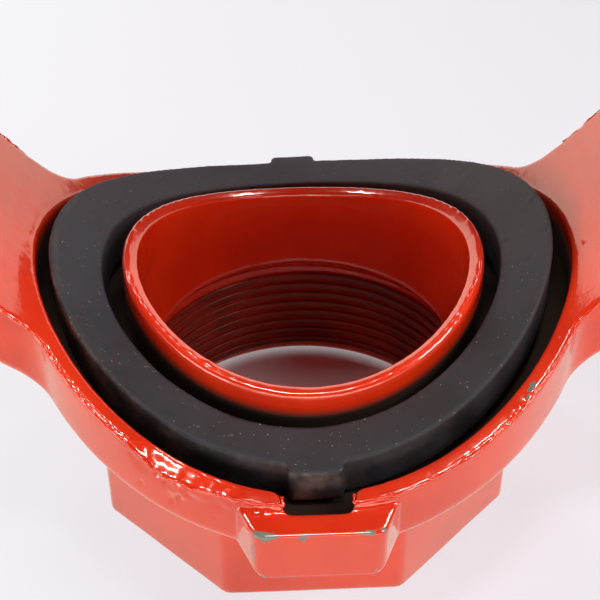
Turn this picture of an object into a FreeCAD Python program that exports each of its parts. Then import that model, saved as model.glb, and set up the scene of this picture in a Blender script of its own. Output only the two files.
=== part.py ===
import FreeCAD, Part
import Sketcher
import math
import os
from FreeCAD import Placement, Rotation, Vector

# A mechanical tee for a grooved piping system: a saddle casting with a threaded outlet and a strap
# casting are drawn together round the run pipe by two track-head bolts, and a saddle gasket seals
# the hole in the pipe. The frame stands on the outlet face: +Z up through the outlet to the pipe
# axis, +Y along the run pipe, +X towards the right-hand bolt.

# Driving sizes in millimetres, angles in degrees
driving_sizes = [
    ("pipe_od", 139.7, "run pipe, outside diameter"),
    ("saddle_clearance", 0.3, "pipe to casting, on the radius"),
    ("axis_height", 103.7, "outlet face to run pipe axis"),
    ("housing_wall", 10.0, "outlet half, wall at the saddle"),
    ("pocket_depth", 5.25, "gasket pocket below the saddle"),
    ("strap_wall", 8.0, "strap half, wall"),
    ("arm_width", 45.0, "both castings, width along the pipe"),
    ("waist_round", 6.0, "plan corner between arm and round body"),
    ("collar_od", 62.0, "locating collar, enters a 64 mm hole"),
    ("collar_wall", 2.7, "locating collar, wall at its rim"),
    ("collar_reach", 6.4, "collar rim inside the pipe's surface"),
    ("gasket_gap_inner", 3.1, "gasket to collar"),
    ("gasket_width", 8.2, "gasket ring, radial width"),
    ("gasket_gap_outer", 2.8, "gasket to pocket wall"),
    ("gasket_curve", 66.9, "gasket's top, radius of its own curve"),
    ("gasket_thickness", 6.8, "gasket ring, thickness"),
    ("gasket_lay", 1.1, "gasket laid towards the rear in its pocket"),
    ("gasket_tilt", 2.03, "gasket's rear up, degrees"),
    ("gasket_roll", 1.26, "gasket's right side up, degrees"),
    ("tab_width", 8.6, "gasket tab, width"),
    ("tab_reach", 1.9, "gasket tab beyond the ring"),
    ("tab_thickness", 6.0, "gasket tab, thickness"),
    ("tab_round", 1.0, "gasket tab, upright corners and roots"),
    ("tab_gap", 1.3, "gasket tab to its recess, each side"),
    ("recess_round", 2.0, "front recess, upright corners"),
    ("recess_flare", 1.6, "front recess, wider where it opens into the pocket, each side"),
    ("recess_floor_rise", 0.5, "front recess floor above the pocket's lowest line"),
    ("seat_air", 0.15, "gasket above what it lies on, kept as air"),
    ("rim_width", 3.4, "casting outside the gasket pocket"),
    ("lug_width", 19.0, "front lug, width at its face"),
    ("lug_flare", 3.5, "front lug, wider at its root, each side"),
    ("lug_round", 2.0, "front lug, corners"),
    ("lug_reach", 4.6, "front lug beyond the round body"),
    ("lug_wall", 4.3, "front lug, wall outside the tab recess"),
    ("lug_drop", 0.9, "front lug top below the saddle"),
    ("thread_major", 59.6, "outlet pipe thread, major diameter"),
    ("thread_length", 22.0, "outlet pipe thread, length"),
    ("mouth_chamfer", 1.1, "chamfer at the outlet's mouth"),
    ("waterway", 53.4, "smooth bore above the thread"),
    ("outlet_wall", 6.2, "octagon flat to thread"),
    ("outlet_round", 2.5, "octagon's upright edges"),
    ("bolt_diameter", 12.0, "track-head bolt"),
    ("bolt_length", 55.0, "bolt under its head"),
    ("bolt_tip", 1.2, "chamfer at the bolt's tip"),
    ("head_diameter", 25.0, "bolt head, across its edge"),
    ("head_height", 7.5, "bolt head, height of the dome"),
    ("head_edge", 2.0, "bolt head, straight edge under the dome"),
    ("neck_length", 17.0, "bolt's oval neck, long way"),
    ("neck_width", 12.8, "bolt's oval neck, narrow way"),
    ("neck_height", 7.0, "bolt's oval neck, height"),
    ("neck_gap", 0.4, "oval neck to its hole, each side"),
    ("nut_flats", 19.0, "nut, across flats"),
    ("nut_height", 12.0, "nut, height"),
    ("nut_clearance", 0.06, "nut bore to bolt thread, on the radius"),
    ("strap_hole_gap", 1.0, "bolt to strap hole, on the radius"),
    ("strap_hole_slot", 4.0, "strap hole, extra length"),
    ("bolt_inset", 8.0, "outlet half's wall to bolt axis"),
    ("pad_radius", 14.5, "bolt pad's round end"),
    ("pad_thickness", 16.0, "bolt pad, each casting"),
    ("cheek_height", 20.0, "pad's cheeks down the arm"),
    ("seat_gap", 1.2, "cheeks to bolt head and to nut, in plan"),
    ("cast_round", 2.0, "castings' edges away from the pipe"),
    ("rim_round", 0.5, "castings' edges beside the pipe"),
    ("root_round", 1.5, "corner between octagon and body"),
    ("foot_round", 0.7, "octagon's lower edges"),
    ("lip_round", 1.0, "collar rim, outer edge"),
    ("lip_round_inner", 1.4, "collar rim, inner edge"),
    ("mouth_round", 1.0, "pocket's upper edge"),
    ("rubber_round", 0.4, "gasket's edges"),
]

doc = FreeCAD.newDocument("mechanical_tee")
sheet = doc.addObject("Spreadsheet::Sheet", "Sizes")
for row, (alias, number, note) in enumerate(driving_sizes, start=1):
    sheet.set(f"A{row}", note)
    sheet.set(f"B{row}", str(number))
    sheet.setAlias(f"B{row}", alias)
doc.recompute()


def cell(alias):
    return f"Sizes.{alias}"


# Sizes that follow from the driving ones, as expressions over the sheet
axis = cell("axis_height")
saddle_r = f"({cell('pipe_od')} / 2 + {cell('saddle_clearance')})"
housing_r = f"({saddle_r} + {cell('housing_wall')})"
strap_r = f"({saddle_r} + {cell('strap_wall')})"
mid_wall_r = f"({saddle_r} + {cell('strap_wall')} / 2)"
saddle_low = f"({axis} - {saddle_r})"
collar_r = f"({cell('collar_od')} / 2)"
collar_top_r = f"({cell('pipe_od')} / 2 - {cell('collar_reach')})"
gasket_in_r = f"({collar_r} + {cell('gasket_gap_inner')})"
gasket_out_r = f"({gasket_in_r} + {cell('gasket_width')})"
gasket_top_r = cell("gasket_curve")
gasket_floor_r = f"({gasket_top_r} + {cell('gasket_thickness')})"
pocket_floor_r = f"({saddle_r} + {cell('pocket_depth')})"
pocket_r = f"({gasket_out_r} + {cell('gasket_gap_outer')})"
body_r = f"({pocket_r} + {cell('rim_width')})"
outlet_flat = f"({cell('thread_major')} / 2 + {cell('outlet_wall')})"
bolt_x = f"({housing_r} + {cell('bolt_inset')})"
pad_low = f"({axis} - {cell('pad_thickness')})"
pad_high = f"({axis} + {cell('pad_thickness')})"
overlap = "1"


def size(expression):
    return float(sheet.evalExpression(expression))


def bind(thing, **expressions):
    for name, expression in expressions.items():
        path = {"x": "Placement.Base.x", "y": "Placement.Base.y", "z": "Placement.Base.z"}.get(name, name)
        thing.setExpression(path, expression)
    return thing


def upright(name, radius, low, high, x="0", y="0"):
    # round bar along Z between two heights
    rod = doc.addObject("Part::Cylinder", name)
    return bind(rod, Radius=radius, Height=f"{high} - ({low})", x=x, y=y, z=low)


def along_pipe(name, radius, length, height=axis):
    # round bar along the run pipe, centred on the outlet
    rod = doc.addObject("Part::Cylinder", name)
    rod.Placement = Placement(Vector(), Rotation(Vector(1, 0, 0), -90))
    return bind(rod, Radius=radius, Height=length, y=f"-({length}) / 2", z=height)


def block(name, x_low, x_high, width, low, high, y="0"):
    # block centred on y
    box = doc.addObject("Part::Box", name)
    return bind(box, Length=f"{x_high} - ({x_low})", Width=width, Height=f"{high} - ({low})",
                x=x_low, y=f"{y} - ({width}) / 2", z=low)


def fuse(name, *shapes, refine=True):
    joined = doc.addObject("Part::MultiFuse", name)
    joined.Shapes = list(shapes)
    joined.Refine = refine
    return joined


def common(name, *shapes):
    shared = doc.addObject("Part::MultiCommon", name)
    shared.Shapes = list(shapes)
    shared.Refine = True
    return shared


def cut(name, base, tool, refine=True):
    rest = doc.addObject("Part::Cut", name)
    rest.Base = base
    rest.Tool = tool
    rest.Refine = refine
    return rest


def mirror_x(name, source):
    twin = doc.addObject("Part::Mirroring", name)
    twin.Source = source
    twin.Normal = Vector(1, 0, 0)
    return twin


def edges_where(shape, test):
    # numbers of the edges whose sampled points all pass the test
    chosen = []
    for number, edge in enumerate(shape.Edges, start=1):
        points = edge.discretize(7)
        if edge.Length > 0.05 and all(test(point) for point in points):
            chosen.append(number)
    return chosen


def rounded(name, base, *rounds):
    # fillets, each given as a radius and the test that its edges pass
    doc.recompute()
    fillet = doc.addObject("Part::Fillet", name)
    fillet.Base = base
    fillet.Edges = [(number, radius, radius) for radius, test in rounds
                    for number in edges_where(base.Shape, test)]
    return fillet


def near(a, b, slack=0.02):
    return abs(a - b) < slack


def pipe_distance(point):
    return math.hypot(point.x, point.z - size(axis))


def outlet_distance(point):
    return math.hypot(point.x, point.y)


def sketch_xy(name, z="0"):
    # sketch on a level plane
    drawing = doc.addObject("Sketcher::SketchObject", name)
    return bind(drawing, z=z)


def sketch_xz(name):
    # sketch on the upright plane across the pipe
    drawing = doc.addObject("Sketcher::SketchObject", name)
    drawing.Placement = Placement(Vector(), Rotation(Vector(1, 0, 0), 90))
    return drawing


def set_point(drawing, index, end, x, y):
    # fixes one point of a sketch by two expressions
    for kind, value in (("DistanceX", x), ("DistanceY", y)):
        at = drawing.addConstraint(Sketcher.Constraint(kind, -1, 1, index, end, size(value)))
        drawing.setExpression(f"Constraints[{at}]", value)


def polygon(drawing, corners, domed=False):
    # closed outline through corners given as pairs of expressions; a dome's first side is an arc
    # that leaves the sketch's upright axis square
    points = [Vector(size(x), size(y), 0) for x, y in corners]
    for index, point in enumerate(points):
        following = points[(index + 1) % len(points)]
        side = Part.LineSegment(point, following)
        if domed and index == 0:
            rise = following.y - point.y
            dome_r = (following.x ** 2 + rise ** 2) / (2 * rise)
            half_turn = math.asin(following.x / dome_r) / 2
            middle = point + Vector(dome_r * math.sin(half_turn), dome_r * (1 - math.cos(half_turn)), 0)
            side = Part.Arc(point, middle, following)
        drawing.addGeometry(side, False)
    if domed:
        drawing.addConstraint(Sketcher.Constraint("PointOnObject", 0, 3, -2))
    for index, (x, y) in enumerate(corners):
        before = (index - 1) % len(corners)
        drawing.addConstraint(Sketcher.Constraint("Coincident", before, 2, index, 1))
        set_point(drawing, index, 1, x, y)
    return drawing


def extruded(name, drawing, length, symmetric=False):
    solid = doc.addObject("Part::Extrusion", name)
    solid.Base = drawing
    solid.DirMode = "Normal"
    solid.Solid = True
    solid.Symmetric = symmetric
    return bind(solid, LengthFwd=length)


def pad_outline(name, z):
    # plan of a bolt pad: as wide as the arm at its root inside the wall, round at its end
    root_x = mid_wall_r
    half = f"{cell('arm_width')} / 2"
    drawing = sketch_xy(name, z)
    x, y, r, centre = size(root_x), size(half), size(cell("pad_radius")), size(bolt_x)
    lean = math.atan2(y - r, centre - x)
    touch = Vector(centre + r * math.sin(lean), r * math.cos(lean), 0)
    below = Vector(touch.x, -touch.y, 0)
    end = Vector(centre + r, 0, 0)
    drawing.addGeometry(Part.LineSegment(Vector(x, -y, 0), below), False)
    drawing.addGeometry(Part.Arc(below, end, touch), False)
    drawing.addGeometry(Part.LineSegment(touch, Vector(x, y, 0)), False)
    drawing.addGeometry(Part.LineSegment(Vector(x, y, 0), Vector(x, -y, 0)), False)
    arc = 1
    drawing.addConstraint(Sketcher.Constraint("Tangent", 0, 2, arc, 1))
    drawing.addConstraint(Sketcher.Constraint("Tangent", arc, 2, 2, 1))
    drawing.addConstraint(Sketcher.Constraint("Coincident", 2, 2, 3, 1))
    drawing.addConstraint(Sketcher.Constraint("Coincident", 3, 2, 0, 1))
    set_point(drawing, arc, 3, bolt_x, "0")
    set_point(drawing, 0, 1, root_x, f"-{half}")
    set_point(drawing, 3, 1, root_x, half)
    at = drawing.addConstraint(Sketcher.Constraint("Radius", arc, r))
    drawing.setExpression(f"Constraints[{at}]", cell("pad_radius"))
    return drawing


def bolt_end(name, pad_from, pad_to, cheek_to, seat_r):
    # one bolt pad with two cheeks that run into the arm, and a clear seat for head or nut between
    pad = extruded(f"{name}_pad", pad_outline(f"{name}_plan", min(pad_from, pad_to, key=size)),
                   cell("pad_thickness"))
    low, high = sorted((pad_to, cheek_to), key=size)
    tip_x = f"sqrt({mid_wall_r} ^ 2 - ({axis} - ({cheek_to})) ^ 2)"
    top_x = f"sqrt({mid_wall_r} ^ 2 - ({axis} - ({pad_to})) ^ 2)"
    profile = polygon(sketch_xz(f"{name}_cheek_side"), [
        (tip_x, cheek_to),
        (top_x, pad_to),
        (f"{bolt_x} - {cell('bolt_inset')} / 2", pad_to),
    ])
    wedge = extruded(f"{name}_wedge", profile, cell("arm_width"), symmetric=True)
    column = fuse(
        f"{name}_column",
        extruded(f"{name}_ear", pad_outline(f"{name}_ear_plan", low), cell("cheek_height")),
        block(f"{name}_root", f"{saddle_r} / 2", mid_wall_r, cell("arm_width"), low, high))
    seat = upright(f"{name}_seat", seat_r, low, high, x=bolt_x)
    cheeks = cut(f"{name}_cheeks", common(f"{name}_cheek_block", column, wedge), seat)
    return pad, cheeks, seat


# Outlet half: round body and arms bent round the pipe, octagonal outlet, lug and bolt ends
round_body = upright("body_disc", body_r, "0", axis)
arms = block("arm_bar", f"-{housing_r}", housing_r, cell("arm_width"), "0", axis)
plan = fuse("body_plan", round_body, arms)


def at_waist(point):
    return near(abs(point.y), size(cell("arm_width")) / 2) and near(outlet_distance(point), size(body_r))


def on_side(point):
    # on the upright sides of the round body, the waists or the arms
    return outlet_distance(point) > size(body_r) - 0.05 and abs(point.y) > size(cell("arm_width")) / 2 - 0.02


def at_outer_edge(point):
    return near(pipe_distance(point), size(housing_r)) and on_side(point)


waisted = rounded("body_waisted", plan, (size(cell("waist_round")), at_waist))
shell = rounded("body_shell",
                common("body_blank", waisted, along_pipe("housing_outside", housing_r, f"3 * {body_r}")),
                (size(cell("cast_round")), at_outer_edge))

octagon = doc.addObject("Part::Prism", "outlet_octagon")
octagon.Polygon = 8
octagon.Placement = Placement(Vector(), Rotation(Vector(0, 0, 1), 22.5))
bind(octagon, Circumradius=f"{outlet_flat} / cos(22.5)", Height=saddle_low)


def upright_edge(point):
    return outlet_distance(point) > size(outlet_flat) * 1.05


outlet = rounded("outlet_block", octagon, (size(cell("outlet_round")), upright_edge))

right_pad, right_cheeks, right_seat = bolt_end(
    "housing_end", axis, pad_low, f"{pad_low} - {cell('cheek_height')}",
    f"{cell('head_diameter')} / 2 + {cell('seat_gap')}")
left_pad = mirror_x("housing_end_left_pad", right_pad)
left_cheeks = mirror_x("housing_end_left_cheeks", right_cheeks)
left_seat = mirror_x("housing_end_left_seat", right_seat)

relieved = cut("shell_relieved", shell, fuse("head_reliefs", right_seat, left_seat))
rough = fuse("housing_rough", relieved, outlet, right_pad, left_pad, right_cheeks, left_cheeks)
saddled = cut("housing_saddled", rough, along_pipe("saddle", saddle_r, f"3 * {body_r}"))


def at_rim(point):
    return near(pipe_distance(point), size(saddle_r)) and on_side(point)


def at_outlet_root(point):
    inside = outlet_distance(point) < size(f"{outlet_flat} / cos(22.5)")
    return inside and near(pipe_distance(point), size(housing_r))


def at_foot(point):
    return near(point.z, 0)


trimmed = rounded("housing_trimmed", saddled, (size(cell("rim_round")), at_rim),
                  (size(cell("root_round")), at_outlet_root), (size(cell("foot_round")), at_foot))

# Lug in front of the gasket pocket, and the pocket: a well whose floor follows the pipe
lug_face = f"({body_r} + {cell('lug_reach')})"
lug_root = f"({cell('lug_width')} / 2 + {cell('lug_flare')})"
lug_plan = polygon(sketch_xy("lug_plan", f"{axis} - {housing_r}"), [
    (f"-{lug_root}", f"-{pocket_r}"),
    (f"-{cell('lug_width')} / 2", f"-{lug_face}"),
    (f"{cell('lug_width')} / 2", f"-{lug_face}"),
    (lug_root, f"-{pocket_r}"),
])
lug_block = extruded("lug_block", lug_plan, f"{cell('housing_wall')} - {cell('lug_drop')}")


def lug_corner(point):
    # the two upright front edges and the two lower side edges
    low = near(point.z, size(f"{axis} - {housing_r}"))
    front = near(point.y, -size(lug_face))
    side = abs(point.x) > size(cell("lug_width")) / 2 - 0.01
    return side and (front or low)


lug = rounded("lug", lug_block, (size(cell("lug_round")), lug_corner))
well = common("pocket_well", upright("pocket_side", pocket_r, "0", axis),
              along_pipe("pocket_floor", pocket_floor_r, f"3 * {body_r}"))


def at_pocket_mouth(point):
    return near(pipe_distance(point), size(saddle_r)) and near(outlet_distance(point), size(pocket_r))


welled = rounded("housing_welled", cut("housing_well", fuse("housing_lugged", trimmed, lug), well),
                 (size(cell("mouth_round")), at_pocket_mouth))
collar_bar = upright("collar_bar", collar_r, f"{saddle_low} - {cell('housing_wall')} / 2", axis)
collar = cut("collar", collar_bar, along_pipe("collar_rim", collar_top_r, f"3 * {body_r}"))

# How the gasket lies: turned about a level line, front edge on the pocket's floor
lay_turn = f"sqrt({cell('gasket_tilt')} ^ 2 + {cell('gasket_roll')} ^ 2)"
tab_half = f"({cell('tab_width')} / 2)"
foot_z = f"({axis} - {pocket_floor_r})"
foot_lift = f"({gasket_out_r} * (sin({lay_turn}) - sin({cell('gasket_tilt')})) + {cell('seat_air')})"
tab_floor_z = f"({foot_z} + {cell('gasket_thickness')} - {cell('tab_thickness')})"
ledge_z = (f"({tab_floor_z} + {foot_lift} + ({pocket_r} + {gasket_out_r}) * sin({cell('gasket_tilt')})"
           f" - {tab_half} * sin({cell('gasket_roll')}) - {cell('seat_air')})")

# Recesses for the gasket's tabs: a deep one that flares into the pocket, a shallow ledge at the rear
recess_half = f"({cell('tab_width')} / 2 + {cell('tab_gap')})"
recess_end = f"({lug_face} - {cell('lug_wall')})"
recess_floor = f"({axis} - {pocket_floor_r} + {cell('recess_floor_rise')})"
flare = cell("recess_flare")
flare_end = f"({pocket_r} + {flare} / 2)"
front_plan = polygon(sketch_xy("front_recess_plan", recess_floor), [
    (f"-({recess_half} + {flare})", f"-({pocket_r} - {flare} / 2)"),
    (f"-{recess_half}", f"-{flare_end}"),
    (f"-{recess_half}", f"-{recess_end}"),
    (recess_half, f"-{recess_end}"),
    (recess_half, f"-{flare_end}"),
    (f"{recess_half} + {flare}", f"-({pocket_r} - {flare} / 2)"),
])


def recess_corner(point):
    at_end = any(near(point.y, -size(y)) for y in (recess_end, flare_end))
    return at_end and near(abs(point.x), size(recess_half))


front_recess_block = extruded("front_recess_block", front_plan, f"{axis} - {recess_floor}")
front_recess = rounded("front_recess", front_recess_block, (size(cell("recess_round")), recess_corner))
rear_recess = block("rear_recess", f"-{recess_half}", recess_half, f"{body_r} - {gasket_in_r}",
                    ledge_z, axis, y=f"({body_r} + {gasket_in_r}) / 2 + {overlap}")

# Bore: chamfered mouth, thread wall, run-out cone, smooth waterway that opens towards the rim
thread_r = f"({cell('thread_major')} / 2)"
bore_r = f"({cell('waterway')} / 2)"
bore_edge = f"({cell('thread_length')} + {thread_r} - {bore_r})"
draft_top = f"({axis} - {collar_top_r} - 2 * {cell('lip_round_inner')})"
rim_in_r = f"({collar_r} - {cell('collar_wall')})"


def cone(name, radius_low, radius_high, low, high):
    taper = doc.addObject("Part::Cone", name)
    return bind(taper, Radius1=radius_low, Radius2=radius_high, Height=f"{high} - ({low})", z=low)


bore = fuse(
    "bore",
    cone("mouth", f"{thread_r} + {cell('mouth_chamfer')}", thread_r, "0", cell("mouth_chamfer")),
    upright("thread_wall", thread_r, "0", cell("thread_length")),
    cone("thread_runout", thread_r, bore_r, cell("thread_length"), bore_edge),
    cone("waterway_draft", bore_r, rim_in_r, bore_edge, draft_top),
    upright("collar_bore", rim_in_r, draft_top, axis))


def bolt_slot(name, length, width, low, high):
    # oval hole: two round ends joined by a block, long way across the pipe
    shift = f"({length} - {width}) / 2"
    return fuse(
        name,
        upright(f"{name}_inner", f"{width} / 2", low, high, x=f"{bolt_x} - {shift}"),
        upright(f"{name}_outer", f"{width} / 2", low, high, x=f"{bolt_x} + {shift}"),
        block(f"{name}_middle", f"{bolt_x} - {shift}", f"{bolt_x} + {shift}", width, low, high))


neck_slot = bolt_slot("neck_slot", f"({cell('neck_length')} + 2 * {cell('neck_gap')})",
                      f"({cell('neck_width')} + 2 * {cell('neck_gap')})", f"({pad_low} - {overlap})", axis)
neck_slots = fuse("neck_slots", neck_slot, mirror_x("neck_slot_left", neck_slot))

# The pocket's rounded mouth is a free-form face, so what follows it is joined without merging faces
recessed = cut("housing_recessed", welled, fuse("recesses", front_recess, rear_recess), refine=False)
collared = fuse("housing_collared", recessed, collar, refine=False)
housing_blank = cut("housing_bored", collared, fuse("housing_bores", bore, neck_slots), refine=False)


def at_collar_lip(point):
    return near(pipe_distance(point), size(collar_top_r)) and near(outlet_distance(point), size(collar_r))


def at_collar_bore(point):
    return near(pipe_distance(point), size(collar_top_r)) and outlet_distance(point) < size(collar_r) - 1


housing = rounded("outlet_housing", housing_blank,
                  (size(cell("lip_round")), at_collar_lip), (size(cell("lip_round_inner")), at_collar_bore))

# Gasket: a ring cut to the pipe's curve, with two tabs flush with its top
tab_end = f"({gasket_out_r} + {cell('tab_reach')})"
tab_floor_r = f"({gasket_top_r} + {cell('tab_thickness')})"
gasket_centre = f"({foot_z} + {gasket_floor_r})"
gasket_plan = fuse("gasket_plan", upright("gasket_disc", gasket_out_r, "0", axis),
                   block("tab_bar", f"-{tab_half}", tab_half, f"2 * {tab_end}", "0", axis))


def tab_corner(point):
    # upright edges at the ends and roots of the tabs
    reach = outlet_distance(point)
    at_root = near(reach, size(gasket_out_r))
    at_end = near(abs(point.y), size(tab_end))
    return near(abs(point.x), size(tab_half)) and (at_root or at_end)


def at_gasket_top(point):
    return near(math.hypot(point.x, point.z - size(gasket_centre)), size(gasket_top_r))


gasket_outline = rounded("gasket_outline", gasket_plan, (size(cell("tab_round")), tab_corner))
gasket_side = cut("gasket_side", gasket_outline, upright("gasket_hole", gasket_in_r, "0", axis))
gasket_band = cut("gasket_band",
                  common("gasket_low", gasket_side,
                         along_pipe("gasket_floor", gasket_floor_r, f"3 * {body_r}", gasket_centre)),
                  along_pipe("gasket_top", gasket_top_r, f"3 * {body_r}", gasket_centre))
outside_ring = cut("outside_ring", upright("tab_zone", f"{tab_end} + {overlap}", "0", axis),
                   upright("ring_zone", gasket_out_r, "0", axis))
tab_undercut = cut("tab_undercut", outside_ring,
                   along_pipe("tab_floor", tab_floor_r, f"3 * {body_r}", gasket_centre))
gasket = rounded("gasket", cut("gasket_blank", gasket_band, tab_undercut),
                 (size(cell("rubber_round")), at_gasket_top))

# Turn it about the level line through its front foot, which comes to rest on the pocket's floor
gasket.Placement = Placement(Vector(), Rotation(Vector(1, -1, 0), 1))
line_x = f"({cell('gasket_tilt')} / {lay_turn})"
line_y = f"(-{cell('gasket_roll')} / {lay_turn})"
for path, expression in (("Axis.x", line_x), ("Axis.y", line_y), ("Angle", lay_turn)):
    gasket.setExpression(f"Placement.Rotation.{path}", expression)
turned_x = (f"{line_y} * {foot_z} * sin({lay_turn})"
            f" - {line_x} * {line_y} * {gasket_out_r} * (1 - cos({lay_turn}))")
turned_y = (f"-{gasket_out_r} * cos({lay_turn}) - {line_x} * {foot_z} * sin({lay_turn})"
            f" - {line_y} ^ 2 * {gasket_out_r} * (1 - cos({lay_turn}))")
turned_z = f"{foot_z} * cos({lay_turn}) - {line_x} * {gasket_out_r} * sin({lay_turn})"
bind(gasket, x=f"-({turned_x})",
     y=f"{cell('gasket_lay')} - {gasket_out_r} - ({turned_y})",
     z=f"{foot_z} + {foot_lift} - ({turned_z})")

# Strap half: a band round the pipe with the same pads turned upwards
band = common(
    "strap_band",
    block("strap_bar", f"-{strap_r}", strap_r, cell("arm_width"), axis, f"{axis} + {strap_r}"),
    along_pipe("strap_outside", strap_r, f"2 * {cell('arm_width')}"))


def at_strap_edge(point):
    return near(pipe_distance(point), size(strap_r)) and near(abs(point.y), size(cell("arm_width")) / 2)


def at_strap_rim(point):
    return near(pipe_distance(point), size(saddle_r)) and near(abs(point.y), size(cell("arm_width")) / 2)


rounded_band = rounded("strap_shell", band, (size(cell("cast_round")), at_strap_edge))
nut_corner_r = f"({cell('nut_flats')} / 2 / cos(30))"
strap_pad, strap_cheeks, strap_seat = bolt_end(
    "strap_end", axis, pad_high, f"{pad_high} + {cell('cheek_height')}",
    f"({nut_corner_r} + {cell('seat_gap')})")
strap_seats = fuse("nut_reliefs", strap_seat, mirror_x("strap_end_left_seat", strap_seat))
strap_rough = fuse("strap_rough", cut("strap_relieved", rounded_band, strap_seats),
                   strap_pad, mirror_x("strap_end_left_pad", strap_pad),
                   strap_cheeks, mirror_x("strap_end_left_cheeks", strap_cheeks))
strap_saddled = cut("strap_saddled", strap_rough, along_pipe("strap_saddle", saddle_r, f"3 * {body_r}"))
strap_trimmed = rounded("strap_trimmed", strap_saddled, (size(cell("rim_round")), at_strap_rim))
strap_width = f"({cell('bolt_diameter')} + 2 * {cell('strap_hole_gap')})"
strap_slot = bolt_slot("strap_slot", f"({strap_width} + {cell('strap_hole_slot')})", strap_width,
                       axis, f"({pad_high} + {overlap})")
strap_slots = fuse("strap_slots", strap_slot, mirror_x("strap_slot_left", strap_slot))
strap = cut("strap_housing", strap_trimmed, strap_slots)

# Track-head bolts: domed head under the lower pad, oval neck in its slot, plain shank outline
bolt_r = f"({cell('bolt_diameter')} / 2)"
head_r = f"({cell('head_diameter')} / 2)"
nut_bore_r = f"({bolt_r} + {cell('nut_clearance')})"


def body_sketch(body, name, upright_plane):
    drawing = body.newObject("Sketcher::SketchObject", name)
    if upright_plane:
        drawing.Placement = Placement(Vector(), Rotation(Vector(1, 0, 0), 90))
    return drawing


def revolve(body, kind, name, drawing):
    turned = body.newObject(kind, name)
    turned.Profile = drawing
    turned.ReferenceAxis = (drawing, ["V_Axis"])
    turned.Angle = 360
    return turned


def raise_pad(body, name, drawing, height):
    boss = body.newObject("PartDesign::Pad", name)
    boss.Profile = drawing
    return bind(boss, Length=height)


def track_bolt(name, side):
    body = doc.addObject("PartDesign::Body", name)
    bind(body, x=f"{side} * {bolt_x}", z=pad_low)
    profile = polygon(body_sketch(body, f"{name}_profile", True), [
        ("0", f"-{cell('head_height')}"),
        (head_r, f"-{cell('head_edge')}"),
        (head_r, "0"),
        (bolt_r, "0"),
        (bolt_r, f"{cell('bolt_length')} - {cell('bolt_tip')}"),
        (f"{bolt_r} - {cell('bolt_tip')}", cell("bolt_length")),
        ("0", cell("bolt_length")),
    ], domed=True)
    revolve(body, "PartDesign::Revolution", f"{name}_turned", profile)
    oval = body_sketch(body, f"{name}_oval", False)
    reach, half = f"({cell('neck_length')} - {cell('neck_width')}) / 2", f"{cell('neck_width')} / 2"
    x, y = size(reach), size(half)
    oval.addGeometry(Part.LineSegment(Vector(-x, -y, 0), Vector(x, -y, 0)), False)
    oval.addGeometry(Part.Arc(Vector(x, -y, 0), Vector(x + y, 0, 0), Vector(x, y, 0)), False)
    oval.addGeometry(Part.LineSegment(Vector(x, y, 0), Vector(-x, y, 0)), False)
    oval.addGeometry(Part.Arc(Vector(-x, y, 0), Vector(-x - y, 0, 0), Vector(-x, -y, 0)), False)
    for index in range(4):
        oval.addConstraint(Sketcher.Constraint("Tangent", index, 2, (index + 1) % 4, 1))
    set_point(oval, 0, 1, f"-{reach}", f"-{half}")
    set_point(oval, 2, 1, reach, half)
    raise_pad(body, f"{name}_neck", oval, cell("neck_height"))
    return body


def hexagon_nut(name, side):
    body = doc.addObject("PartDesign::Body", name)
    bind(body, x=f"{side} * {bolt_x}", z=pad_high)
    corners = [(f"{nut_corner_r} * cos({angle})", f"{nut_corner_r} * sin({angle})")
               for angle in range(0, 360, 60)]
    outline = polygon(body_sketch(body, f"{name}_outline", False), corners)
    bore_at = outline.addGeometry(Part.Circle(Vector(), Vector(0, 0, 1), size(nut_bore_r)), False)
    outline.addConstraint(Sketcher.Constraint("Coincident", bore_at, 3, -1, 1))
    at = outline.addConstraint(Sketcher.Constraint("Radius", bore_at, size(nut_bore_r)))
    outline.setExpression(f"Constraints[{at}]", nut_bore_r)
    raise_pad(body, f"{name}_hexagon", outline, cell("nut_height"))
    far = f"({nut_corner_r} + {overlap})"
    flat = f"({cell('nut_flats')} / 2)"
    fall = f"({far} - {flat}) * tan(30)"
    for end, face, inwards in (("lower", "0", "1"), ("upper", cell("nut_height"), "-1")):
        corner_cut = polygon(body_sketch(body, f"{name}_{end}_bevel", True), [
            (flat, face),
            (far, f"{face} + {inwards} * {fall}"),
            (far, f"{face} - {inwards} * {overlap}"),
            (flat, f"{face} - {inwards} * {overlap}"),
        ])
        revolve(body, "PartDesign::Groove", f"{name}_{end}_turned", corner_cut)
    return body


fasteners = [make(f"{kind}_{hand}", side)
             for kind, make in (("bolt", track_bolt), ("nut", hexagon_nut))
             for hand, side in (("left", "-1"), ("right", "1"))]
doc.recompute()

for thing in doc.Objects:
    if "Invalid" in thing.State or "Error" in thing.State:
        raise RuntimeError(f"{thing.Label} could not be rebuilt")
nodes = [housing, gasket, strap] + fasteners
for node in nodes:
    if node.Shape.isNull() or not node.Shape.isValid():
        raise RuntimeError(f"{node.Label} has no sound shape")
    print(node.Label, round(node.Shape.Volume), "mm3", node.Shape.optimalBoundingBox(True))
os.makedirs("parts", exist_ok=True)
for node in nodes:
    node.Shape.exportStep(f"parts/{node.Label}.step")
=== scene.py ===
import math

import bmesh
import bpy
import numpy as np
from mathutils import Matrix, Vector, noise


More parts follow.
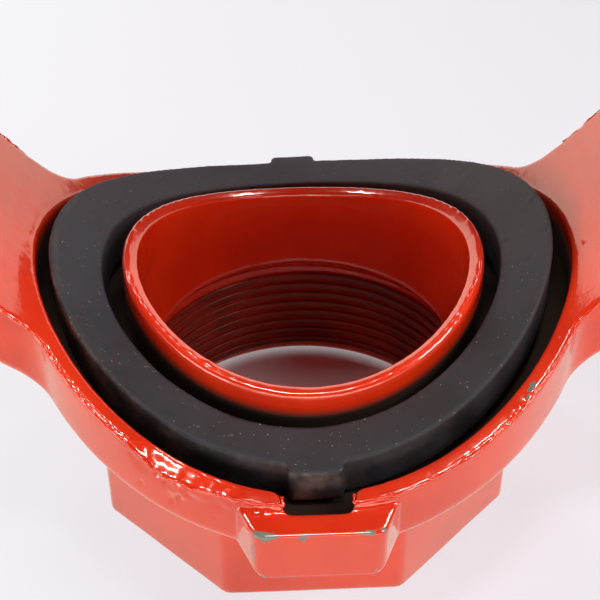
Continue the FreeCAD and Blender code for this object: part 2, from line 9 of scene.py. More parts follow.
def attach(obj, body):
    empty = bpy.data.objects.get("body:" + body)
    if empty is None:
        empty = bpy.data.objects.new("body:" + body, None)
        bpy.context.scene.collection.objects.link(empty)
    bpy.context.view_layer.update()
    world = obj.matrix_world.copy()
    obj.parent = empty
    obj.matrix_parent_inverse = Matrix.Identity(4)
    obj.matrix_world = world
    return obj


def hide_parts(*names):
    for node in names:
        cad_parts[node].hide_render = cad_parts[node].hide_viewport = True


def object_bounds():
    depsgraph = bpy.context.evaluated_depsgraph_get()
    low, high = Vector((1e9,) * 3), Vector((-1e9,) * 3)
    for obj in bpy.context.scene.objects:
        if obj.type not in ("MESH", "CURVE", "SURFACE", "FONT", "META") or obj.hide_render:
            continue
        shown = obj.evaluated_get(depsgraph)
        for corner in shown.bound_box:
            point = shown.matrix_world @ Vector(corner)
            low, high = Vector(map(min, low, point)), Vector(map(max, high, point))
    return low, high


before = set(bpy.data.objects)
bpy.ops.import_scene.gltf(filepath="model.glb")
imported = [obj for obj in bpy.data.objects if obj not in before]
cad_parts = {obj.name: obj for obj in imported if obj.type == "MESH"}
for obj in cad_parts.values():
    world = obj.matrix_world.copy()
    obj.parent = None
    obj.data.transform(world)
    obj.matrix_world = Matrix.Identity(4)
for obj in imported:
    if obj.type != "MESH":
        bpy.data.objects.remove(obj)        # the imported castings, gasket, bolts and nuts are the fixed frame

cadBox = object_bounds()
mm = 0.001
print("frame loaded:", ", ".join(sorted(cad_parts)))


# Camera: where the photograph was taken from, found by fitting the outlet's edges
cameraView = {
    "position": (-8.36, -177.30, 168.04),  # mm
    "azimuth": 2.52,                       # degrees right of straight along the pipe
    "elevation": 36.76,                    # degrees looking down
    "roll": -0.17,                         # degrees
    "lens": 75.09,                         # mm
    "sensor": 36,                          # mm
    "clipStart": 0.01,                     # m
    "imageSize": 600,                      # pixels each way
}


def makeCamera(view):
    azimuth, elevation, roll = (math.radians(view[name]) for name in ("azimuth", "elevation", "roll"))
    turn = Matrix.Rotation(-azimuth, 4, "Z") @ Matrix.Rotation(math.pi / 2 - elevation, 4, "X")
    data = bpy.data.cameras.new("photoCamera")
    data.lens = view["lens"]
    data.sensor_width = view["sensor"]
    data.clip_start = view["clipStart"]
    camera = bpy.data.objects.new("photoCamera", data)
    camera.matrix_world = (Matrix.Translation(Vector(view["position"]) * mm) @ turn
                           @ Matrix.Rotation(roll, 4, "Z"))
    bpy.context.scene.collection.objects.link(camera)
    bpy.context.scene.camera = camera
    return camera


camera = makeCamera(cameraView)
bpy.context.view_layer.update()


def pixelRay(pixel):
    # start and direction of the camera's ray through a pixel of the photograph
    half = cameraView["imageSize"] / 2
    reach = cameraView["lens"] / cameraView["sensor"] * cameraView["imageSize"]
    local = Vector((pixel[0] - half, half - pixel[1], -reach))
    turn = camera.matrix_world.to_3x3()
    return camera.matrix_world.translation.copy(), (turn @ local).normalized()


# Small helpers
def hexColour(text):
    # an sRGB hex value as linear red, green, blue, alpha
    channels = [int(text[i:i + 2], 16) / 255 for i in (1, 3, 5)]
    linear = [c / 12.92 if c <= 0.04045 else ((c + 0.055) / 1.055) ** 2.4 for c in channels]
    return (*linear, 1.0)


def feed(tree, socket, value):
    # a socket is linked, an sRGB hex value becomes a colour, anything else is set as it is
    if isinstance(value, bpy.types.NodeSocket):
        tree.links.new(value, socket)
    else:
        socket.default_value = hexColour(value) if isinstance(value, str) else value


def addNode(tree, kind, inputs=None, **settings):
    node = tree.nodes.new(kind)
    for name, value in settings.items():
        setattr(node, name, value)
    for name, value in (inputs or {}).items():
        feed(tree, node.inputs[name], value)
    return node


def mathNode(tree, operation, first, second):
    return addNode(tree, "ShaderNodeMath", {0: first, 1: second}, operation=operation).outputs[0]


def vectorNode(tree, operation, inputs):
    output = "Value" if operation == "LENGTH" else "Vector"
    return addNode(tree, "ShaderNodeVectorMath", inputs, operation=operation).outputs[output]


def remap(tree, value, source=(0, 1), target=(0, 1), curve="LINEAR"):
    # one range laid on another
    names = ("From Min", "From Max", "To Min", "To Max")
    return addNode(tree, "ShaderNodeMapRange", {"Value": value, **dict(zip(names, (*source, *target)))},
                   interpolation_type=curve).outputs["Result"]


def mixed(tree, factor, first, second):
    return addNode(tree, "ShaderNodeMix", {"Factor": factor, "A": first, "B": second},
                   data_type="RGBA").outputs["Result"]


def noiseNode(tree, place, size, detail, roughness=0.5):
    # lumps about this many mm across
    return addNode(tree, "ShaderNodeTexNoise", {"Vector": place, "Scale": 1000 / size, "Detail": detail,
                                                "Roughness": roughness}).outputs["Fac"]


def bumpNode(tree, height, strength, distance):
    return addNode(tree, "ShaderNodeBump", {"Height": height, "Strength": strength,
                                            "Distance": distance * mm}).outputs["Normal"]


def newMaterial(name, uniform):
    # a material's tree, shader and object coordinates, with what is uniform set on the shader's sockets
    material = bpy.data.materials.new(name)
    material.use_nodes = True
    tree = material.node_tree
    shader = tree.nodes["Principled BSDF"]
    for socket, value in uniform.items():
        feed(tree, shader.inputs[socket], value)
    return material, tree, shader, addNode(tree, "ShaderNodeTexCoord").outputs["Object"]


def linkObject(name, mesh):
    thing = bpy.data.objects.new(name, mesh)
    bpy.context.scene.collection.objects.link(thing)
    return thing


def meshFrom(name, points, faces=(), edges=()):
    mesh = bpy.data.meshes.new(name)
    mesh.from_pydata([tuple(p) for p in points], edges, faces)
    mesh.update()
    return mesh


def settled(thing):
    # the evaluated object as a plain mesh on the same object, with no modifier left
    bpy.context.view_layer.update()
    graph = bpy.context.evaluated_depsgraph_get()
    mesh = bpy.data.meshes.new_from_object(thing.evaluated_get(graph), preserve_all_data_layers=True,
                                           depsgraph=graph)
    thing.modifiers.clear()
    thing.data = mesh
    return thing


def addModifier(thing, kind, **settings):
    modifier = thing.modifiers.new(kind.title(), kind)
    for name, value in settings.items():
        setattr(modifier, name, value)
    return modifier


mergeDistance = 0.005   # mm
smoothFactor = 0.5      # how far one round of smoothing moves a corner


def nodeCopy(node):
    # a merged copy of a CAD node's mesh
    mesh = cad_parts[node].data.copy()
    work = bmesh.new()
    work.from_mesh(mesh)
    bmesh.ops.remove_doubles(work, verts=work.verts, dist=mergeDistance * mm)
    work.to_mesh(mesh)
    work.free()
    mesh.materials.clear()
    return mesh


def joined(name, *meshes):
    # several meshes in one
    work = bmesh.new()
    for mesh in meshes:
        work.from_mesh(mesh)
    mesh = bpy.data.meshes.new(name)
    work.to_mesh(mesh)
    work.free()
    return mesh


# Floor and light: a pale table, a softbox, three lamps, two low panels, a white surround that ends above
studio = {
    "floorColour": "#E6E4EA",
    "floorShownColour": "#F9F8FD",  # what the camera and reflections get in the lit half of the mix
    "floorShare": 0.69,
    "leftLightShare": 1.4,           # painted light and shade: the table's glow is stronger on the left than on the right
    "rightShadeShare": 0.72,
    "shadeFrom": 27.0,          # mm from the outlet's axis: under the casting the paper is plain
    "shadeTo": 36.0,
    "plainFrom": 260.0,         # mm from the outlet's axis: further out the table runs into the white wall
    "plainTo": 620.0,
    "leanReach": 0.12,          # m each side of the middle over which left turns to right
    "floorSize": 3.0,           # m
    "floorDrop": 0.05,          # mm under the outlet's face
    "floorRoughness": 0.6,
    "mottleColour": "#E4E2E9",
    "mottleScale": 9.0,         # lumps in a metre
    "surroundColour": "#F7F6FB",
    "reflectedColour": "#FBF0E1",   # painted reflection: the table and wall as the casting sees them, tinted warm to stand in for its own red bounce
    "surroundLevel": 1.18,      # brightness of the white wall round the table, and what +X takes off it
    "levelSlope": 0.34,
    "surroundTop": 0.323,       # its height on the unit sphere, lower towards +X
    "topSlope": 0.087,
    "surroundFade": 0.04,
    "roofColour": "#2A2A2E",
    "aim": (0, 0, 0.05),        # m, what the boxes face
    "boxes": [  # place in m, size in m, power in W
        {"name": "rightSoftbox", "at": (0.67, -0.30, 0.73), "size": (0.36, 0.36), "power": 4.8},
        {"name": "frontTopLamp", "at": (0.00, -0.17, 1.03), "size": (0.20, 0.16), "power": 3.0},
        {"name": "rearRightLamp", "at": (0.31, 0.53, 0.84), "size": (0.12, 0.12), "power": 1.4},
        {"name": "rearLeftLamp", "at": (-0.32, 0.54, 0.83), "size": (0.12, 0.12), "power": 1.2},
        {"name": "frontPanel", "at": (0.15, -1.20, 0.11), "size": (1.40, 0.16), "power": 2.8},
        {"name": "leftPanel", "at": (-1.02, -0.62, 0.11), "size": (0.90, 0.16), "power": 3.6},
    ],
}


def makeFloor(plan):
    half = plan["floorSize"] / 2
    drop = -plan["floorDrop"] * mm
    floor = linkObject("floor", meshFrom("floor", [(-half, -half, drop), (half, -half, drop),
                                                   (half, half, drop), (-half, half, drop)], [(0, 1, 2, 3)]))
    paper, tree, shader, place = newMaterial("matteTablePaper", {"Roughness": plan["floorRoughness"]})
    mottle = addNode(tree, "ShaderNodeTexNoise",
                     {"Vector": place, "Scale": plan["mottleScale"], "Detail": 2.0}).outputs["Fac"]
    tint = mixed(tree, mottle, plan["floorColour"], plan["mottleColour"])
    tree.links.new(tint, shader.inputs["Base Color"])
    path = addNode(tree, "ShaderNodeLightPath").outputs
    seen = mathNode(tree, "MAXIMUM", path["Is Camera Ray"], path["Is Glossy Ray"])
    reach = vectorNode(tree, "LENGTH", {0: place})
    clear = remap(tree, reach, (plan["shadeFrom"] * mm, plan["shadeTo"] * mm), (0, plan["floorShare"]),
                  "SMOOTHSTEP")
    # painted light on the left of the table and painted shade on the right
    across = addNode(tree, "ShaderNodeSeparateXYZ", {"Vector": place}).outputs["X"]
    lean = remap(tree, across, (-plan["leanReach"], plan["leanReach"]),
                 (plan["leftLightShare"], plan["rightShadeShare"]))
    leaning = mathNode(tree, "MULTIPLY", clear, lean)
    faraway = remap(tree, reach, (plan["plainFrom"] * mm, plan["plainTo"] * mm), curve="SMOOTHSTEP")
    share = mathNode(tree, "MULTIPLY", seen, mathNode(tree, "MAXIMUM", leaning, faraway))
    # painted reflection: glossy rays see the table's glow tinted warm
    warmed = mixed(tree, path["Is Glossy Ray"], plan["floorShownColour"], plan["reflectedColour"])
    glow = addNode(tree, "ShaderNodeEmission", {"Color": warmed, "Strength": 1.0})
    shown = addNode(tree, "ShaderNodeMixShader", {0: share, 1: shader.outputs[0], 2: glow.outputs[0]})
    tree.links.new(shown.outputs[0], tree.nodes["Material Output"].inputs["Surface"])
    floor.data.materials.append(paper)


def makeWorld(plan):
    world = bpy.data.worlds.new("studioWorld")
    bpy.context.scene.world = world
    world.use_nodes = True
    tree = world.node_tree
    tree.nodes.clear()
    path = addNode(tree, "ShaderNodeLightPath").outputs
    direction = addNode(tree, "ShaderNodeTexCoord").outputs["Generated"]
    part = addNode(tree, "ShaderNodeSeparateXYZ", {"Vector": direction}).outputs
    lean = addNode(tree, "ShaderNodeMath", {0: part["X"], 1: plan["topSlope"], 2: part["Z"]},
                   operation="MULTIPLY_ADD").outputs[0]
    top, fade = plan["surroundTop"], plan["surroundFade"] / 2
    roof = remap(tree, lean, (top - fade, top + fade), curve="SMOOTHSTEP")
    level, slope = plan["surroundLevel"], plan["levelSlope"]
    # the surround's light and reflections carry the painted warm tint
    surround = addNode(tree, "ShaderNodeBackground", {
        "Color": mixed(tree, roof, plan["reflectedColour"], plan["roofColour"]),
        "Strength": remap(tree, part["X"], (-1, 1), (level + slope, level - slope))})
    white = addNode(tree, "ShaderNodeBackground", {"Color": plan["surroundColour"], "Strength": 1.0})
    final = addNode(tree, "ShaderNodeMixShader", {0: path["Is Camera Ray"], 1: surround.outputs[0],
                                                  2: white.outputs[0]})
    addNode(tree, "ShaderNodeOutputWorld", {"Surface": final.outputs[0]})


def makeLamps(plan):
    for box in plan["boxes"]:
        data = bpy.data.lights.new(box["name"], "AREA")
        data.shape = "RECTANGLE"
        data.size, data.size_y = box["size"]
        data.energy = box["power"]
        lamp = bpy.data.objects.new(box["name"], data)
        place = Vector(box["at"])
        turn = (Vector(plan["aim"]) - place).to_track_quat("-Z", "Y").to_matrix().to_4x4()
        lamp.matrix_world = Matrix.Translation(place) @ turn
        bpy.context.scene.collection.objects.link(lamp)


makeFloor(studio)
makeWorld(studio)
makeLamps(studio)
bpy.context.scene.view_settings.view_transform = "Standard"
print("camera, floor and light made")


# Finishes
enamelLook = {  # baked enamel dipped over a sand casting: thick, glossy, faintly wavy
    "colour": "#EA360F",
    "deepColour": "#DC2C0A",
    "ironColour": "#6E7A70",
    "pocket": {  # mm, depths from the pipe's axis
        "pipeHeight": 103.7, "from": 30.6, "to": 46.2, "collarSide": 36.0, "collarDepth": 66.0,
        "wallDepth": 70.6, "floorDepth": 76.0, "step": 1, "fade": 2.4,
    },
    "pocketShadeColour": "#14090A",  # painted shade: the gasket's pocket coloured near black where it lies in shade, so it never shows bright
    "roughness": 0.20,
    "coatRoughness": 0.06,
    "indexOfRefraction": 1.62,
    "warmSheen": "#FFE0C4",
    "peelSize": 1.6,        # mm, orange peel
    "patchSize": 14.0,      # mm, where the coat is thicker
    "chipGrain": 0.9,       # mm, raggedness of a chip's edge
    "patchRange": (0.35, 0.65), "glossRange": (0.3, 0.7),   # of the patches' noise
    "glossSpread": (-0.03, 0.04),                           # added to the roughness over them
    "chipEdge": (0.98, 1.06),                               # of chip and grain together
    "chipRoughness": 0.6, "pocketRoughness": 0.9, "coatWeight": 1.0,
    "peelStrength": 0.25, "peelHeight": 0.10,               # mm
}


def pocketShadeFactor(tree, place, plan):
    # where the pocket's painted shade goes: 1 on the walls beside and under the gasket, outside the collar and
    # below the saddle
    parts = addNode(tree, "ShaderNodeSeparateXYZ", {"Vector": place}).outputs
    plain = addNode(tree, "ShaderNodeCombineXYZ", {"X": parts["X"], "Y": parts["Y"]})
    out = vectorNode(tree, "LENGTH", {0: plain.outputs[0]})
    under = mathNode(tree, "SUBTRACT", parts["Z"], plan["pipeHeight"] * mm)
    across = addNode(tree, "ShaderNodeCombineXYZ", {"X": parts["X"], "Z": under})
    depth = vectorNode(tree, "LENGTH", {0: across.outputs[0]})
    start = remap(tree, out, ((plan["collarSide"] - plan["step"]) * mm, plan["collarSide"] * mm),
                  (plan["collarDepth"] * mm, plan["wallDepth"] * mm))
    dark = remap(tree, mathNode(tree, "SUBTRACT", depth, start), (0, plan["fade"] * mm), curve="SMOOTHSTEP")
    for value, limit, operation in ((out, plan["from"], "GREATER_THAN"), (out, plan["to"], "LESS_THAN"),
                                    (depth, plan["floorDepth"], "LESS_THAN"), (under, 0, "LESS_THAN")):
        dark = mathNode(tree, "MULTIPLY", dark, mathNode(tree, operation, value, limit * mm))
    return dark


def makeEnamel(look, name):
    material, tree, shader, place = newMaterial(name, {
        "IOR": look["indexOfRefraction"], "Coat IOR": look["indexOfRefraction"],
        "Coat Roughness": look["coatRoughness"], "Specular Tint": look["warmSheen"]})
    patches = noiseNode(tree, place, look["patchSize"], detail=3.0)
    coat = mixed(tree, remap(tree, patches, look["patchRange"]), look["deepColour"], look["colour"])
    near = addNode(tree, "ShaderNodeAttribute", attribute_name="chip").outputs["Fac"]
    ragged = noiseNode(tree, place, look["chipGrain"], detail=3.0, roughness=0.6)
    chip = remap(tree, mathNode(tree, "ADD", near, ragged), look["chipEdge"])
    worn = mixed(tree, chip, coat, look["ironColour"])
    # painted shade in the gasket's pocket: the base colour there is near black, with no coat and a dull finish
    pocketShade = pocketShadeFactor(tree, place, look["pocket"])
    bare = mixed(tree, pocketShade, worn, look["pocketShadeColour"])
    coatWeight = remap(tree, pocketShade, target=(look["coatWeight"], 0))
    glossy = (look["roughness"] + change for change in look["glossSpread"])
    gloss = remap(tree, patches, look["glossRange"], glossy)
    dull = remap(tree, chip, target=(gloss, look["chipRoughness"]))
    roughness = remap(tree, pocketShade, target=(dull, look["pocketRoughness"]))
    peel = noiseNode(tree, place, look["peelSize"], detail=2.0, roughness=0.55)
    normal = bumpNode(tree, peel, look["peelStrength"], look["peelHeight"])
    for socket, source in (("Base Color", bare), ("Coat Weight", coatWeight), ("Roughness", roughness),
                           ("Normal", normal), ("Coat Normal", normal)):
        tree.links.new(source, shader.inputs[socket])
    return material


rubberLook = {  # EPDM rubber, compression moulded: matte charcoal, dusty in patches
    "colour": "#1A1A1E",
    "paleColour": "#2A2A30",
    "rearSheenColour": "#50505A",   # painted reflection: a paler grey that grows towards the rear, from and to in mm along the pipe
    "rearSheenFrom": -20.0,
    "rearSheenTo": 45.0,
    "dustAndHighlightColour": "#7A6A5E",
    "roughness": 0.62,
    "grainSize": 0.5,       # mm, mould grain
    "cloudSize": 9.0,       # mm, dusty clouds
    "cloudRange": (0.38, 0.66), "glossRange": (0.3, 0.7),   # of the clouds' noise
    "glossSpread": (-0.08, 0.1),                            # added to the roughness over them
    "speckSize": 1.1, "speckRange": (0.72, 0.80), "speckShare": 0.35,
    "grainStrength": 0.5, "grainHeight": 0.12,              # mm
    "indexOfRefraction": 1.52,
}


def makeRubber(look):
    material, tree, shader, place = newMaterial("mouldedGasketRubber", {"IOR": look["indexOfRefraction"]})
    clouds = noiseNode(tree, place, look["cloudSize"], detail=5.0, roughness=0.6)
    base = mixed(tree, remap(tree, clouds, look["cloudRange"]), look["colour"], look["paleColour"])
    # painted reflection: the rubber turns paler towards the rear
    along = addNode(tree, "ShaderNodeSeparateXYZ", {"Vector": place}).outputs["Y"]
    rearSheen = remap(tree, along, (look["rearSheenFrom"] * mm, look["rearSheenTo"] * mm))
    withRearSheen = mixed(tree, rearSheen, base, look["rearSheenColour"])
    specks = noiseNode(tree, place, look["speckSize"], detail=1.0)
    specked = remap(tree, specks, look["speckRange"], (0, look["speckShare"]))
    # the dust attribute: real dust, and along the front-left corner also a painted edge highlight
    dust = addNode(tree, "ShaderNodeAttribute", attribute_name="dust").outputs["Fac"]
    dustedAndHighlighted = mixed(tree, dust, mixed(tree, specked, withRearSheen, look["dustAndHighlightColour"]), look["dustAndHighlightColour"])
    glossy = (look["roughness"] + change for change in look["glossSpread"])
    normal = bumpNode(tree, noiseNode(tree, place, look["grainSize"], detail=3.0), look["grainStrength"],
                      look["grainHeight"])
    gloss = remap(tree, clouds, look["glossRange"], glossy)
    for socket, source in (("Base Color", dustedAndHighlighted), ("Roughness", gloss), ("Normal", normal)):
        tree.links.new(source, shader.inputs[socket])
    return material


zincLook = {  # bright zinc plate on forged steel: grey-blue, satin, slightly cloudy
    "colour": "#C3C6CA",
    "dullColour": "#A2A5A8",
    "roughness": 0.34,
    "cloudSize": 5.0,       # mm
    "grainSize": 0.6,       # mm, forging grain under the plate
    "cloudRange": (0.35, 0.65), "glossRange": (0.3, 0.7),   # of the clouds' noise
    "glossSpread": (0.08, -0.06),                           # added to the roughness over them
    "grainStrength": 0.3, "grainHeight": 0.06,              # mm
}


def makeZinc(look):
    material, tree, shader, place = newMaterial("zincPlatedSteel", {"Metallic": 1.0})
    clouds = noiseNode(tree, place, look["cloudSize"], detail=4.0)
    plate = mixed(tree, remap(tree, clouds, look["cloudRange"]), look["dullColour"], look["colour"])
    glossy = (look["roughness"] + change for change in look["glossSpread"])
    normal = bumpNode(tree, noiseNode(tree, place, look["grainSize"], detail=2.0), look["grainStrength"],
                      look["grainHeight"])
    gloss = remap(tree, clouds, look["glossRange"], glossy)
    for socket, source in (("Base Color", plate), ("Roughness", gloss), ("Normal", normal)):
        tree.links.new(source, shader.inputs[socket])
    return material


enamel = makeEnamel(enamelLook, "glossyOrangeEnamel")
# the thread's enamel: darker and duller than the casting's
threadEnamel = makeEnamel({**enamelLook, "colour": "#8E1C0C", "deepColour": "#5C1008", "roughness": 0.42,
                           "coatWeight": 0.1}, "darkThreadEnamel")
rubber = makeRubber(rubberLook)
zinc = makeZinc(zincLook)
print("finishes made")


# Geometry Nodes: what each tree starts and ends with
def newGeometryTree(name, wanted, takesGeometry=True):
    # the tree, the identifiers of its named inputs, and its group input's sockets
    tree = bpy.data.node_groups.new(name, "GeometryNodeTree")
    for way in ("INPUT", "OUTPUT") if takesGeometry else ("OUTPUT",):
        tree.interface.new_socket("Geometry", in_out=way, socket_type="NodeSocketGeometry")
    sockets = {}
    for kind, names in wanted.items():
        for title in names:
            socket = tree.interface.new_socket(title, in_out="INPUT", socket_type=f"NodeSocket{kind}")
            sockets[title] = socket.identifier
    return tree, sockets, addNode(tree, "NodeGroupInput").outputs


def closeTree(tree, geometry, material):
    realised = addNode(tree, "GeometryNodeRealizeInstances", {"Geometry": geometry})
    dressed = addNode(tree, "GeometryNodeSetMaterial", {"Geometry": realised.outputs[0],
                                                        "Material": material})
    addNode(tree, "NodeGroupOutput", {"Geometry": dressed.outputs[0]})


def runTree(thing, tree, sockets, values):
    # the inputs are set before the tree is first evaluated
    modifier = thing.modifiers.new("shape", "NODES")
    modifier.node_group = tree
    for socket, value in values.items():
        modifier[sockets[socket]] = value
    return settled(thing)


# A screw thread's ridge, for the outlet's bore and the bolts
ridgeLengths = {"Radius": "radius", "Pitch": "pitch", "Ridge Height": "height", "Root Width": "root",
                "Crest Width": "crest", "Softness": "softness", "Start Height": "start", "Sink": "sink"}
ridgeFade = 0.05   # of the thread's length at each end, where the ridge sinks into the wall


def makeRidgeTree():
    tree, sockets, given = newGeometryTree("threadRidge", {
        "Float": (*ridgeLengths, "Turns"), "Int": ("Points Per Turn",), "Material": ("Material",)}, False)
    spiral = addNode(tree, "GeometryNodeCurveSpiral", {
        "Resolution": given["Points Per Turn"], "Rotations": given["Turns"], "Start Radius": given["Radius"],
        "End Radius": given["Radius"], "Height": mathNode(tree, "MULTIPLY", given["Pitch"], given["Turns"])})
    raised = addNode(tree, "ShaderNodeCombineXYZ", {"Z": given["Start Height"]}).outputs[0]
    along = addNode(tree, "GeometryNodeSplineParameter").outputs["Factor"]
    starting = remap(tree, along, (0, ridgeFade), (1, 0), "SMOOTHSTEP")
    ending = remap(tree, along, (1 - ridgeFade, 1), curve="SMOOTHSTEP")
    sunk = mathNode(tree, "MULTIPLY", mathNode(tree, "ADD", starting, ending), given["Sink"])
    position = addNode(tree, "GeometryNodeInputPosition").outputs[0]
    outward = vectorNode(tree, "NORMALIZE", {0: vectorNode(tree, "MULTIPLY", {0: position, 1: (1, 1, 0)})})
    shift = vectorNode(tree, "SCALE", {0: outward, "Scale": sunk})
    laid = addNode(tree, "GeometryNodeSetPosition", {
        "Geometry": spiral.outputs["Curve"], "Offset": vectorNode(tree, "ADD", {0: shift, 1: raised})})
    level = addNode(tree, "GeometryNodeSetCurveNormal", {"Curve": laid.outputs[0]}, mode="Z_UP")
    section = addNode(tree, "GeometryNodeCurvePrimitiveQuadrilateral", {
        "Height": given["Ridge Height"], "Bottom Width": given["Root Width"],
        "Top Width": given["Crest Width"], "Offset": 0.0}, mode="TRAPEZOID")
    filleted = addNode(tree, "GeometryNodeFilletCurve", {
        "Curve": section.outputs[0], "Radius": given["Softness"], "Count": 2}, mode="POLY")
    upright = addNode(tree, "GeometryNodeTransform", {"Geometry": filleted.outputs[0],
                                                      "Rotation": (0, 0, math.pi / 2)})
    swept = addNode(tree, "GeometryNodeCurveToMesh", {
        "Curve": level.outputs[0], "Profile Curve": upright.outputs[0], "Fill Caps": True})
    closeTree(tree, swept.outputs[0], given["Material"])
    return tree, sockets


ridgeTree, ridgeSockets = makeRidgeTree()


def makeRidge(name, material, plan):
    thing = linkObject(name, bpy.data.meshes.new(name))
    return runTree(thing, ridgeTree, ridgeSockets, {
        **{socket: plan[size] * mm for socket, size in ridgeLengths.items()},
        "Turns": plan["turns"], "Points Per Turn": plan["pointsPerTurn"], "Material": material})


outletThread = {
    "radius": 29.75, "pitch": 2.309, "turns": 8.6, "height": 1.3, "start": 1.6, "sink": 0.8,  # mm
    "root": 2.0, "crest": 0.7, "softness": 0.25, "pointsPerTurn": 120,
}
thread = makeRidge("outlet_thread", threadEnamel, outletThread)
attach(thread, "outlet_half")
print("outlet thread:", len(thread.data.polygons), "faces", [round(side, 4) for side in thread.dimensions])


# Flash line: the thin ragged bead that the mould left on the saddle's outer edge
flashLine = {
    "saddleRadius": 70.15, "pipeHeight": 103.7,  # mm, the saddle face is this cylinder
    "outsideRadius": 46.6, "below": 96.0,        # mm, the outer edge, not the pocket's or the bolt pads'
    "cleanBack": 48.0,                           # mm each side of the middle, the back edge has no bead
    "nearness": 0.05,                            # mm, how close a corner is to lie on the saddle
    "outward": 0.28, "inward": 0.22,             # mm, from the face's edge on to the rounding beside it
    "radius": 0.26, "spacing": 0.45, "wander": 0.22, "unevenness": 0.75, "noiseSize": 1.7, "seed": 7.0,
    "noiseRange": (0.35, 0.65), "sides": 8,      # the noise from the thinnest bead to the thickest
}


def saddleEdge(plan):
    # the outer edge of the casting's saddle face as a wire, moved on to the rounded corner
    mesh = nodeCopy("outlet_housing")
    points = np.empty(len(mesh.vertices) * 3, np.float32)
    mesh.vertices.foreach_get("co", points)
    points = points.reshape(-1, 3) / mm
    fromPipe = points * (1, 0, 1) - (0, 0, plan["pipeHeight"])
    distance = np.linalg.norm(fromPipe, axis=1)
    onSaddle = np.abs(distance - plan["saddleRadius"]) < plan["nearness"]
    owners = {}
    for face in mesh.polygons:
        corners = list(face.vertices)
        if all(onSaddle[corner] for corner in corners):
            for pair in face.edge_keys:
                owners.setdefault(pair, []).append(corners)
    outward = np.zeros_like(points)
    edges = []
    for (first, second), faces in owners.items():
        middle = (points[first] + points[second]) / 2
        if len(faces) != 1 or np.hypot(*middle[:2]) < plan["outsideRadius"] or middle[2] > plan["below"]:
            continue
        if middle[1] > 0 and abs(middle[0]) < plan["cleanBack"]:
            continue
        along = points[second] - points[first]
        along /= np.linalg.norm(along)
        away = middle - points[faces[0]].mean(axis=0)
        away -= along * (away @ along)
        away /= np.linalg.norm(away)
        outward[first] += away
        outward[second] += away
        edges.append((first, second))
    used = sorted({index for edge in edges for index in edge})
    number = {index: place for place, index in enumerate(used)}
    outward = outward[used] / np.linalg.norm(outward[used], axis=1)[:, None]
    inward = fromPipe[used] / distance[used][:, None]
    moved = points[used] + outward * plan["outward"] + inward * plan["inward"]
    return meshFrom("saddleEdge", moved * mm, edges=[(number[one], number[two]) for one, two in edges])


def makeFlashTree(plan):
    tree, sockets, given = newGeometryTree("flashBead", {
        "Float": ("Bead Radius", "Spacing", "Wander", "Thinnest", "Thickest", "Noise Scale", "Seed"),
        "Material": ("Material",)})
    wire = addNode(tree, "GeometryNodeMeshToCurve", {"Mesh": given["Geometry"]})
    even = addNode(tree, "GeometryNodeResampleCurve", {"Curve": wire.outputs[0], "Length": given["Spacing"]},
                   mode="LENGTH")
    position = addNode(tree, "GeometryNodeInputPosition").outputs[0]
    ragged = addNode(tree, "ShaderNodeTexNoise", {
        "Vector": position, "W": given["Seed"], "Scale": given["Noise Scale"], "Detail": 2.0},
        noise_dimensions="4D").outputs
    centred = vectorNode(tree, "SUBTRACT", {0: ragged["Color"], 1: (0.5, 0.5, 0.5)})
    shift = vectorNode(tree, "SCALE", {0: centred, "Scale": given["Wander"]})
    laid = addNode(tree, "GeometryNodeSetPosition", {"Geometry": even.outputs[0], "Offset": shift})
    swelling = remap(tree, ragged["Fac"], plan["noiseRange"], (given["Thinnest"], given["Thickest"]))
    section = addNode(tree, "GeometryNodeCurvePrimitiveCircle", {"Radius": given["Bead Radius"],
                                                                 "Resolution": plan["sides"]})
    swept = addNode(tree, "GeometryNodeCurveToMesh", {
        "Curve": laid.outputs[0], "Profile Curve": section.outputs[0], "Scale": swelling, "Fill Caps": True})
    closeTree(tree, swept.outputs[0], given["Material"])
    return tree, sockets


def makeFlash(plan):
    thing = linkObject("flashBead", saddleEdge(plan))
    tree, sockets = makeFlashTree(plan)
    mesh = runTree(thing, tree, sockets, {
        "Bead Radius": plan["radius"] * mm, "Spacing": plan["spacing"] * mm,
        "Wander": plan["wander"] * 2 * mm, "Noise Scale": 1000 / plan["noiseSize"], "Seed": plan["seed"],
        "Thinnest": 1 - plan["unevenness"], "Thickest": 1 + plan["unevenness"], "Material": enamel}).data
    bpy.data.objects.remove(thing)
    return mesh


flash = makeFlash(flashLine)
print("flash line:", len(flash.polygons), "faces")


def softened(name, node, voxel, smoothing):
    # an even mesh laid back on the CAD surface, so that its small roundings stay crisp
    thing = linkObject(name, nodeCopy(node))
    surface = linkObject("surface", thing.data.copy())
    addModifier(thing, "REMESH", mode="VOXEL", voxel_size=voxel * mm, adaptivity=0.0)
    addModifier(thing, "SHRINKWRAP", target=surface, wrap_method="NEAREST_SURFACEPOINT")
    addModifier(thing, "SMOOTH", factor=smoothFactor, iterations=smoothing)
    settled(thing)
    bpy.data.objects.remove(surface)
    return thing


# Marks that the photograph shows on one spot: a pixel there, then a radius and a height in mm
def findMarks(thing, marks, direction=None):
    # the place, direction, radius and height of each mark; pushed along the surface's normal if none is given
    places = []
    for pixel, radius, height in marks:
        found, place, normal, _ = thing.ray_cast(*pixelRay(pixel))
        if found:
            places.append((np.array(place), np.array(direction or normal), radius * mm, height * mm))
        else:
            print("no surface under the mark at", pixel)
    return places


def pressMarks(points, places):
    for place, direction, radius, height in places:
        distance = np.linalg.norm(points - place, axis=1) / radius
        points += direction * (np.clip(1 - distance ** 2, 0, None) ** 2 * height)[:, None]


def meshPoints(mesh, layer="co"):
    values = np.empty(len(mesh.vertices) * 3, np.float32)
    mesh.vertices.foreach_get(layer, values)
    return values.reshape(-1, 3)


